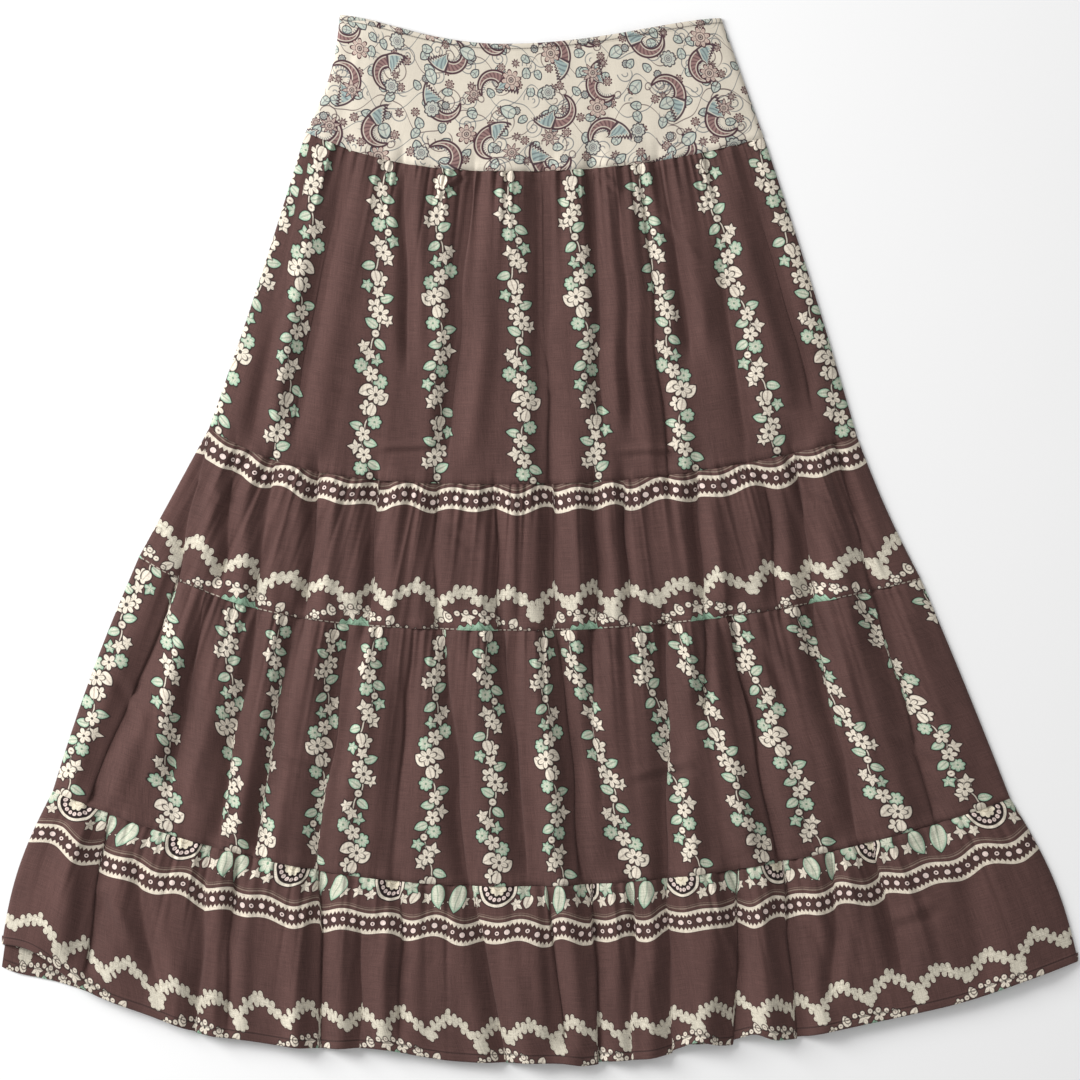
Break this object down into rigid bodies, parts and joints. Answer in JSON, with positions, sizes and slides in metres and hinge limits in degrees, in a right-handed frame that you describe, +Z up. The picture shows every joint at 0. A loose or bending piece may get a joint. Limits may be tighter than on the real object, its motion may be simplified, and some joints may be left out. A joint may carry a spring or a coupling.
{
  "type": "tiered ruffle skirt, laid flat",
  "caption": "Long tiered skirt laid flat: a fitted printed yoke over gathered tiers of thin printed cloth with a turned hem.",
  "frame": {"origin": "the middle of the skirt's outline, on the surface under it", "axes": "+X to the right as seen from above, +Y from the hem to the waist, +Z up out of the surface it lies on"},
  "size_m": [1.013, 0.9878, 0.0137],
  "materials": {
    "yoke_cloth": "matte printed cotton",
    "tier_cloth": "thin printed voile with a soft sheen"
  },
  "bodies": {
    "root": {"yoke_front": "yoke_cloth", "yoke_back": "yoke_cloth", "tier_1_front": "tier_cloth", "tier_1_back": "tier_cloth", "tier_2_front": "tier_cloth", "tier_2_back": "tier_cloth", "tier_3_front": "tier_cloth", "tier_3_back": "tier_cloth", "tier_4_front": "tier_cloth", "tier_4_back": "tier_cloth"}
  },
  "joints": []
}
